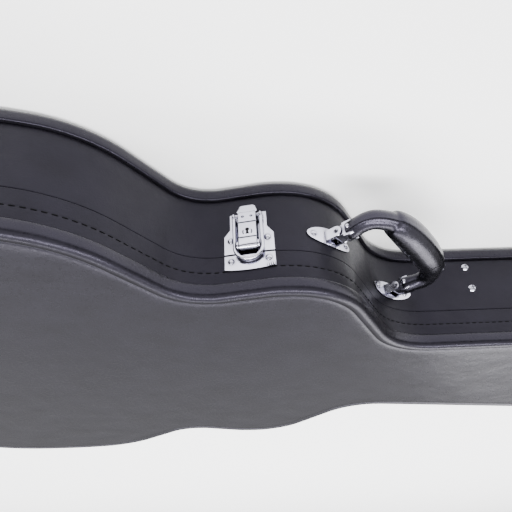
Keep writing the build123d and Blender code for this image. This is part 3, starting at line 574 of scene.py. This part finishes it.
def add_stitches():
    """One stitch is a short fat bar; it is copied along the furrow at an even pitch."""
    mesh = bmesh.new()
    lengths = [0.0]
    for i in range(len(outline)):
        following = outline[(i + 1) % len(outline)][0]
        lengths.append(lengths[-1] + (following - outline[i][0]).length)
    count = round(lengths[-1] / STITCH_PITCH)
    step = 0
    for k in range(count):
        target = k * lengths[-1] / count
        while lengths[step + 1] < target:
            step += 1
        share = (target - lengths[step]) / (lengths[step + 1] - lengths[step])
        (p, n), (q, m) = outline[step], outline[(step + 1) % len(outline)]
        point, out = p.lerp(q, share), n.lerp(m, share).normalized()
        along = Vector((-out.y, out.x, 0))
        out = Vector((out.x, out.y, 0))
        centre = Vector((point.x, point.y, STITCH_AT)) - out * 0.08
        rings = []
        for x, radius in ((-0.5, 0.35), (-0.36, 1.0), (0.36, 1.0), (0.5, 0.35)):
            ring = []
            for a in range(6):
                angle = math.tau * a / 6
                offset = out * math.cos(angle) * THREAD * radius + UP * math.sin(angle) * THREAD * radius
                ring.append(mesh.verts.new((centre + along * x * STITCH_LENGTH + offset) * MM))
            rings.append(ring)
        for first, second in zip(rings, rings[1:]):
            for a in range(6):
                mesh.faces.new((first[a], first[(a + 1) % 6], second[(a + 1) % 6], second[a]))
        mesh.faces.new(rings[0])
        mesh.faces.new(rings[-1])
    bmesh.ops.recalc_face_normals(mesh, faces=mesh.faces)
    data = bpy.data.meshes.new("lid_stitches")
    mesh.to_mesh(data)
    mesh.free()
    piece = bpy.data.objects.new("lid_stitches", data)
    bpy.context.scene.collection.objects.link(piece)
    return count, piece


stitch_count, stitches = add_stitches()
settle(stitches, "lid", thread, "black_vinyl")
print(stitch_count, "stitches")

# %% [markdown]
# The pressed fittings have their exact shape in the frame already. A copy of each is merged, its flat
# faces are joined, and a fine bevel rounds its edges the way a press does, so chrome catches light there.

# %% Rounded copies of the frame's fittings


def rounded_copy(node, name, bevel_mm, material, slot_name, body, smooth_angle=35.0):
    source = frame["nodes"][node]
    data = source.data.copy()
    piece = bpy.data.objects.new(name, data)
    bpy.context.scene.collection.objects.link(piece)
    deselect()
    piece.select_set(True)
    bpy.context.view_layer.objects.active = piece
    bpy.ops.object.mode_set(mode="EDIT")
    bpy.ops.mesh.select_all(action="SELECT")
    bpy.ops.mesh.remove_doubles(threshold=0.000002)
    bpy.ops.mesh.dissolve_limited(angle_limit=math.radians(0.5))
    bpy.ops.object.mode_set(mode="OBJECT")
    if bevel_mm:
        add_bevel(piece, bevel_mm, 3, 40)
    bpy.ops.object.shade_smooth_by_angle(angle=math.radians(smooth_angle))
    return settle(piece, body, material, slot_name, node)


record_bodies = frame["record"]["behaviour"]["bodies"]
bodies_of = {node: body for body, nodes in record_bodies.items() for node in nodes}
PLATE_EDGE, LEAF_EDGE, CAM_EDGE = 0.4, 0.3, 0.15
for node, body in sorted(bodies_of.items()):
    if "rivets" in node or "pins" in node or "screws" in node:
        rounded_copy(node, node + "_chrome", 0.0, chrome, "chrome", body)
    elif node == "lock_cam":
        rounded_copy(node, node + "_chrome", CAM_EDGE, chrome, "chrome", body)
    elif node.startswith("hinge_") and "leaf" in node:
        rounded_copy(node, node + "_pressed", LEAF_EDGE, chrome, "chrome", body)
    elif node.startswith(("handle_mount_", "handle_links")) or node.endswith(("_latch_plate", "_catch_plate")):
        rounded_copy(node, node + "_pressed", PLATE_EDGE, chrome, "chrome", body)

# %% [markdown]
# A drawbolt latch is a lever that pulls a wire bail over a hook. The lever is one pressed piece: a side
# profile drawn as a circle of points, extruded to its width and bevelled. The tab at its free end is a
# grid with a rounded outline. The bail is a round wire, so it is a tube laid along its path.

# %% Latch places and helpers
LEVER_HALF = 6.9
LEVER_FACE = 8.35
TAB_HALF = 7.8
TAB_FROM = -35.6
TAB_END = -45.3
TAB_ROUND = 4.2
TAB_THICK = 1.2
BAIL_WIRE = 1.4
BAIL_HALF = 12.0
BAIL_ARC_AT = -3.0
BAIL_HEIGHT = 5.4
TRUNNION_AT = (-33.0, 5.0)
PIVOT_AT = (-4.5, 5.5)
LATCHES = ("bout", "lock", "neck", "tail", "head")


def latch_place(name):
    """Gives a function from x, y (up from the parting line) and z (off the wall) to the model's place."""
    joint = joints[name + "_lever_turn"]
    along = -Vector(joint["axis"])
    out = along.cross(UP)
    root = Vector(joint["pos_m"]) / MM - UP * PIVOT_AT[0] - out * PIVOT_AT[1]
    return lambda x, y, z: (root + along * x + UP * y + out * z) * MM


def extruded_side(name, profile, half, place, bevel_mm):
    """A side profile of (y, z) points, filled and extruded across the latch, with rounded edges."""
    deselect()
    bpy.ops.mesh.primitive_circle_add(vertices=len(profile), radius=0.01, fill_type="NGON")
    piece = bpy.context.object
    piece.name = name
    for vertex, (y, z) in zip(piece.data.vertices, profile):
        vertex.co = place(-half, y, z)
    across = place(half, 0, 0) - place(-half, 0, 0)
    bpy.ops.object.mode_set(mode="EDIT")
    bpy.ops.mesh.select_all(action="SELECT")
    bpy.ops.mesh.extrude_region_move(TRANSFORM_OT_translate={"value": across})
    bpy.ops.mesh.select_all(action="SELECT")
    bpy.ops.mesh.normals_make_consistent(inside=False)
    bpy.ops.object.mode_set(mode="OBJECT")
    add_bevel(piece, bevel_mm, 3, 50)
    return piece


def tube(name, path, radius, around=14, closed=False):
    """A round tube along points in metres; its ends close to a low dome."""
    rings = [(path[0], radius * 0.02), (path[0], radius * 0.8)] if not closed else []
    rings += [(point, radius) for point in path]
    rings += [(path[-1], radius * 0.8), (path[-1], radius * 0.02)] if not closed else [(path[0], radius)]
    piece = grid(name, around + 1, len(rings))
    ends = [path[-1]] + path + [path[0]] if closed else [path[0]] + path + [path[-1]]
    side = None
    for j, (point, size) in enumerate(rings):
        if closed:
            k = j % len(path)
        else:
            k = min(max(j - 2, 0), len(path) - 1)
        heading = (ends[k + 2] - ends[k]).normalized()
        if side is None:
            side = heading.orthogonal().normalized()
        side = (side - heading * side.dot(heading)).normalized()
        other = heading.cross(side)
        for i in range(around + 1):
            angle = math.tau * (i % around) / around
            offset = side * math.cos(angle) + other * math.sin(angle)
            piece.data.vertices[j * (around + 1) + i].co = point + offset * size * MM
    return piece


def flat_shape(name, points, place, low, high):
    """A filled outline of (x, y) points raised from z low to high over the latch."""
    deselect()
    bpy.ops.mesh.primitive_circle_add(vertices=len(points), radius=0.01, fill_type="NGON")
    piece = bpy.context.object
    piece.name = name
    for vertex, (x, y) in zip(piece.data.vertices, points):
        vertex.co = place(x, y, low)
    bpy.ops.object.mode_set(mode="EDIT")
    bpy.ops.mesh.select_all(action="SELECT")
    rise_by = place(0, 0, high) - place(0, 0, low)
    bpy.ops.mesh.extrude_region_move(TRANSFORM_OT_translate={"value": rise_by})
    bpy.ops.mesh.select_all(action="SELECT")
    bpy.ops.mesh.normals_make_consistent(inside=False)
    bpy.ops.object.mode_set(mode="OBJECT")
    return piece


def joined(name, pieces):
    deselect()
    for piece in pieces:
        piece.select_set(True)
    bpy.context.view_layer.objects.active = pieces[0]
    bpy.ops.object.join()
    pieces[0].name = pieces[0].data.name = name
    return pieces[0]


# %% Levers
def lever_profile():
    """Side of the lever from its pivot end up the front to the tab and back down behind."""
    end = arc(PIVOT_AT, 3.85, -88, 62, 8)
    groove = LEVER_FACE - 0.9
    step = LEVER_FACE - 1.3
    front = [(-8.0, 9.2), (-9.2, 9.1), (-9.4, groove), (-10.3, groove), (-10.5, LEVER_FACE)]
    upper = [(-24.2, LEVER_FACE), (-24.4, step), (-25.3, step)]
    upper += [(-25.6, LEVER_FACE - 0.5), (-35.0, LEVER_FACE - 1.0)]
    back = [(-37.2, 6.3), (-37.2, 4.3), (-34.5, 1.8)]
    return end + front + upper + back


def tab_piece(place):
    columns, rows = 13, 9
    piece = grid("tab", columns, rows)
    for j in range(rows):
        share = j / (rows - 1)
        for i in range(columns):
            x = TAB_HALF * (2 * i / (columns - 1) - 1)
            into_corner = max(0, abs(x) - (TAB_HALF - TAB_ROUND)) / TAB_ROUND
            tip = TAB_END + TAB_ROUND * (1 - math.sqrt(max(0, 1 - into_corner ** 2)))
            y = TAB_FROM + (tip - TAB_FROM) * share
            z = 6.7 - 3.6 * share ** 1.3 + 0.7 * max(0, share - 0.75) * 4 * 0.3
            piece.data.vertices[j * columns + i].co = place(x, y, z)
    bpy.ops.object.mode_set(mode="EDIT")
    bpy.ops.mesh.select_all(action="SELECT")
    bpy.ops.mesh.normals_make_consistent(inside=False)
    bpy.ops.object.mode_set(mode="OBJECT")
    solid = piece.modifiers.new("sheet", "SOLIDIFY")
    solid.thickness = TAB_THICK * MM
    solid.offset = 0
    bpy.ops.object.modifier_apply(modifier="sheet")
    add_bevel(piece, 0.35, 2, 50)
    return piece


def cut_dimple(piece, centre, radius):
    """A pressed dimple: a ball's cup is cut from the lever's face."""
    deselect()
    bpy.ops.mesh.primitive_uv_sphere_add(segments=20, ring_count=10, radius=radius * MM, location=centre)
    ball = bpy.context.object
    cut = piece.modifiers.new("dimple", "BOOLEAN")
    cut.object = ball
    cut.operation = "DIFFERENCE"
    cut.solver = "EXACT"
    deselect()
    piece.select_set(True)
    bpy.context.view_layer.objects.active = piece
    bpy.ops.object.modifier_apply(modifier="dimple")
    bpy.data.objects.remove(ball)


for name in LATCHES:
    place = latch_place(name)
    body = extruded_side("lever_body", lever_profile(), LEVER_HALF, place, 0.35)
    for x in (-3.4, 3.4):
        cut_dimple(body, place(x, -31.0, 8.0), 1.35)
    trunnion = tube("trunnion", [place(x, *TRUNNION_AT) for x in (-12.3, 12.3)], 1.45, 18)
    pieces = [body, tab_piece(place), trunnion]
    lever = joined(name + "_lever_pressed", pieces)
    bpy.ops.object.shade_smooth_by_angle(angle=math.radians(40))
    settle(lever, name + "_latch_lever", chrome, "chrome", name + "_latch_lever")

# %% Bails
for name in LATCHES:
    place = latch_place(name)
    reach = BAIL_HALF - BAIL_WIRE
    arm = [(reach, y) for y in (-33.0, -29.0, -24.0, -18.0, -12.0, -7.0)]
    bow = arc((0, BAIL_ARC_AT), reach, 0, 180, 22)
    path = [place(x, y, BAIL_HEIGHT) for x, y in arm + bow + [(-x, y) for x, y in reversed(arm)]]
    wire = tube("wire", path, BAIL_WIRE, 16)
    eyes = []
    for side in (-1, 1):
        ring = [place(side * reach, y, z) for y, z in arc(TRUNNION_AT, 2.25, 0, 345, 23)]
        eyes.append(tube("eye", ring, 0.72, 10, closed=True))
    bail = joined(name + "_bail_wire", [wire, *eyes])
    finish_mesh(bail, 60)
    settle(bail, name + "_latch_bail", chrome, "chrome", name + "_latch_bail")

# %% Grip ridges on the catch plates
for name in LATCHES:
    place = latch_place(name)
    ridges = []
    for k in range(4):
        x = -18.4 + 1.5 * k
        bow = 13.0 + 1.6 * (1 - (x / 19.25) ** 2)
        outline_points = [(x, bow - 2.2), (x + 0.75, bow - 2.1), (x + 0.75, bow + 0.05), (x, bow - 0.05)]
        ridges.append(flat_shape("ridge", outline_points, place, 0.9, 1.75))
    ridge_piece = joined(name + "_catch_ridges", ridges)
    settle(ridge_piece, "lid", chrome, "chrome")

# %% [markdown]
# The lock is a small plug with a keyhole: a round hole over a slot, and a thin dark bracket along the plug's edge
# on each side.
# The plug is a raised circle with a bevelled rim; hole and brackets are near-black sheets: painted shade.

# %% Lock plug and keyhole
PLUG_AT = -16.0
PLUG_RADIUS = 2.95
EDGE_SHADE_CENTRE = (0, PLUG_AT + 0.9)
EDGE_SHADE_SPREAD = 34


# A near-black finish for the sheets in the keyhole and along the plug's edge: painted shade.
def painted_shade_black():
    material, tree, shader = new_material(
        "black_painted_shade", Roughness=0.7, Specular_IOR_Level=0.05
    )
    place = add_node(tree, "ShaderNodeTexCoord").outputs["Object"]
    dust = add_node(tree, "ShaderNodeTexNoise", {"Vector": place, "Scale": 2000.0})
    tint = colour_ramp(tree, dust.outputs[0], ((0.3, "#020203"), (0.7, "#060608")))
    tree.links.new(tint, shader.inputs["Base Color"])
    return material


lock_place = latch_place("lock")
plug_circle = arc((0, PLUG_AT), PLUG_RADIUS, 0, 352, 43)
plug = flat_shape("plug", plug_circle, lock_place, LEVER_FACE - 2.6, LEVER_FACE + 0.12)
add_bevel(plug, 0.22, 2, 50)
bpy.ops.object.shade_smooth_by_angle(angle=math.radians(35))
plug.name = "lock_plug"
settle(plug, "lock_cylinder", chrome, "lock_brass", "lock_cylinder")
# The keyhole and the brackets beside the plug are near-black sheets standing for shade: painted shade.
hole_shade = painted_shade_black()
slot = [(-0.75, 0.1), (-1.3, 2.75), (1.3, 2.75), (0.75, 0.1)]
slot = [(x, PLUG_AT + y) for x, y in slot]
keyhole_points = arc((0, PLUG_AT - 1.2), 1.6, 30, -210, 16) + slot
keyhole = flat_shape("lock_keyhole", keyhole_points, lock_place, LEVER_FACE - 1.2, LEVER_FACE + 0.16)
settle(keyhole, "lock_cylinder", hole_shade, "lock_brass")
# Two near-black arcs along the plug's edge: painted shade.
edge_shades = []
for side in (-1, 1):
    middle_angle = 0 if side > 0 else 180
    start, end = middle_angle - EDGE_SHADE_SPREAD, middle_angle + EDGE_SHADE_SPREAD
    outer = arc(EDGE_SHADE_CENTRE, 3.85, start, end, 10)
    inner = arc(EDGE_SHADE_CENTRE, 3.1, end, start, 10)
    edge_shades.append(flat_shape("mark", outer + inner, lock_place, LEVER_FACE - 0.4, LEVER_FACE + 0.05))
settle(joined("lock_edge_shade", edge_shades), "lock_latch_lever", hole_shade, "chrome")

# %% [markdown]
# The handle is a leather-cloth sleeve, fat in the middle where the hand holds it and thin at its ends.
# Its section changes along its length, so a grid is laid round a list of stations, each with its place
# in the handle's plane and its half sizes; a seam ridge runs along the outer edge.

# %% Handle sleeve
swing = joints["handle_swing"]
handle_along = -Vector(swing["axis"])
handle_out = handle_along.cross(UP)
PIVOT_OUT = 8.2
LEG_AT = 53.3
handle_root = Vector(swing["pos_m"]) - handle_out * PIVOT_OUT * MM
# along the chord, out from the wall, half thickness in the handle's plane, half depth
half_handle = (
    (0.0, 51.2, 13.7, 12.6), (10.0, 51.1, 13.6, 12.6), (20.0, 50.7, 13.2, 12.4), (28.0, 50.0, 12.5, 12.0),
    (34.0, 49.0, 11.6, 11.4), (38.0, 48.1, 10.8, 10.8), (40.4, 47.4, 9.9, 10.0), (41.2, 47.1, 9.0, 9.2),
    (41.7, 46.9, 7.9, 8.1), (44.2, 45.8, 7.8, 7.9), (47.8, 43.4, 7.7, 7.8), (51.2, 40.4, 7.7, 7.7),
    (54.0, 37.4, 7.8, 7.6), (55.2, 33.2, 7.7, 7.5), (55.4, 29.0, 7.5, 7.4), (54.8, 25.0, 7.2, 7.3),
    (54.0, 21.5, 6.9, 7.6), (53.5, 18.5, 6.7, 7.8), (53.3, 16.4, 6.6, 7.8), (53.3, 15.4, 6.2, 7.4),
    (53.3, 15.1, 5.3, 6.5), (53.3, 15.1, 0.0, 0.0),
)
stations = [(-s, w, a, b) for s, w, a, b in reversed(half_handle[1:])] + list(half_handle)
AROUND = 40
SEAM_ANGLE = math.radians(32)


def handle_sleeve():
    piece = grid("handle_sleeve", AROUND + 1, len(stations))
    for j, (s, w, thick, deep) in enumerate(stations):
        before, after = stations[max(j - 1, 0)], stations[min(j + 1, len(stations) - 1)]
        heading = Vector((after[0] - before[0], after[1] - before[1])).normalized()
        if heading.length < 0.5:
            heading = Vector((1, 0))
        normal = Vector((-heading.y, heading.x))
        for i in range(AROUND + 1):
            angle = math.tau * (i % AROUND) / AROUND
            ridge = math.exp(-((angle - SEAM_ANGLE) / 0.13) ** 2) * 0.9 * min(1, thick / 6)
            across = (thick + ridge) * math.cos(angle)
            depth = (deep + ridge) * math.sin(angle)
            in_plane = handle_along * (s + normal.x * across) + handle_out * (w + normal.y * across)
            place = handle_root + in_plane * MM
            piece.data.vertices[j * (AROUND + 1) + i].co = place + UP * depth * MM
    finish_mesh(piece, 60)
    subdivision = piece.modifiers.new("round", "SUBSURF")
    subdivision.levels = subdivision.render_levels = 1
    bpy.ops.object.modifier_apply(modifier="round")
    return settle(piece, "handle", handle_vinyl, "handle_vinyl", "handle_grip", "handle_strap")


handle_sleeve()

# %% Ball rivets through the handle's ends
RIVET_AT = 18.2
RIVET_BALL = 2.1
balls = []
for side in (-1, 1):
    centre = handle_root + (handle_along * (side * LEG_AT + 6.4) + handle_out * RIVET_AT) * MM
    deselect()
    bpy.ops.mesh.primitive_uv_sphere_add(
        segments=24, ring_count=12, radius=RIVET_BALL * MM, location=centre
    )
    bpy.ops.object.transform_apply(location=True)
    balls.append(bpy.context.object)
    bpy.ops.mesh.primitive_torus_add(
        major_segments=24, minor_segments=8, major_radius=2.2 * MM, minor_radius=0.35 * MM,
        location=centre - handle_along * 0.8 * MM, rotation=handle_along.to_track_quat("Z", "Y").to_euler(),
    )
    bpy.ops.object.transform_apply(location=True, rotation=True)
    balls.append(bpy.context.object)
rivet_balls = joined("handle_rivet_balls", balls)
bpy.ops.object.shade_smooth_by_angle(angle=math.radians(60))
settle(rivet_balls, "handle", chrome, "chrome")

# %% [markdown]
# Inside, the floor, sides and lid are foam under black plush. Each pad is a closed form that turns over
# at its borders: a filled sheet with a rounded edge, or a rounded copy of the pad in the frame.

# %% Padding
floor_low, floor_high = (v.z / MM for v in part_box("base_floor_pad"))
lining_low, lining_high = (v.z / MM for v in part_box("lid_lining"))


def pad_sheet(name, outer, low, high, upwards):
    """A flat pad that fills the outline, with its free face rounded at the border."""
    round_edge = 5.0
    free, back = (high, low) if upwards else (low, high)
    lean = 1 if upwards else -1
    profile = [(outer - 20, back), (outer, back), (outer, free - lean * round_edge)]
    profile += [
        (outer - round_edge * (1 - math.cos(a)), free - lean * round_edge * (1 - math.sin(a)))
        for a in (math.radians(18 * k) for k in range(1, 6))
    ]
    profile += [(outer - 12, free)]
    piece = sweep_profile(name, profile, closed=False)
    finish_mesh(piece, 60)
    for ring_profile in (profile[0], profile[-1]):
        ring = {tuple(round(c, 6) for c in on_outline(i, *ring_profile)) for i in range(len(outline))}
        for vertex in piece.data.vertices:
            vertex.select = tuple(round(c, 6) for c in vertex.co) in ring
        bpy.ops.object.mode_set(mode="EDIT")
        bpy.ops.mesh.select_mode(type="VERT")
        bpy.ops.mesh.edge_face_add()
        bpy.ops.mesh.select_all(action="DESELECT")
        bpy.ops.object.mode_set(mode="OBJECT")
    finish_mesh(piece, 60)
    return piece


floor_pad = pad_sheet("base_floor_cushion", -7.3, floor_low, floor_high, True)
settle(floor_pad, "base", plush, "plush", "base_floor_pad")
lid_pad = pad_sheet("lid_cushion", -9.8, lining_low, lining_high, False)
settle(lid_pad, "lid", plush, "plush", "lid_lining")
PAD_EDGES = {"base_side_padding": 2.5, "neck_cradle": 3.0, "accessory_box": 0.8, "accessory_lid": 0.5}
for node, bevel in PAD_EDGES.items():
    soft = rounded_copy(node, node + "_plush", bevel, plush, "plush", bodies_of[node], 50)
rounded_copy("lid_tongue", "lid_tongue_flocked", 0.4, plush, "tongue_board", "lid", 50)

# %% [markdown]
# The plywood walls, panels and rim cores are hidden by the covers except where the lid parts from the
# base. Their shape in the frame is right, so they only get their finish.

# %% Plywood
for node in ("base_wall", "lid_wall", "base_panel", "lid_panel", "base_rim_core", "lid_rim_core"):
    board = frame["nodes"][node]
    board.data.materials.clear()
    board.data.materials.append(plywood)
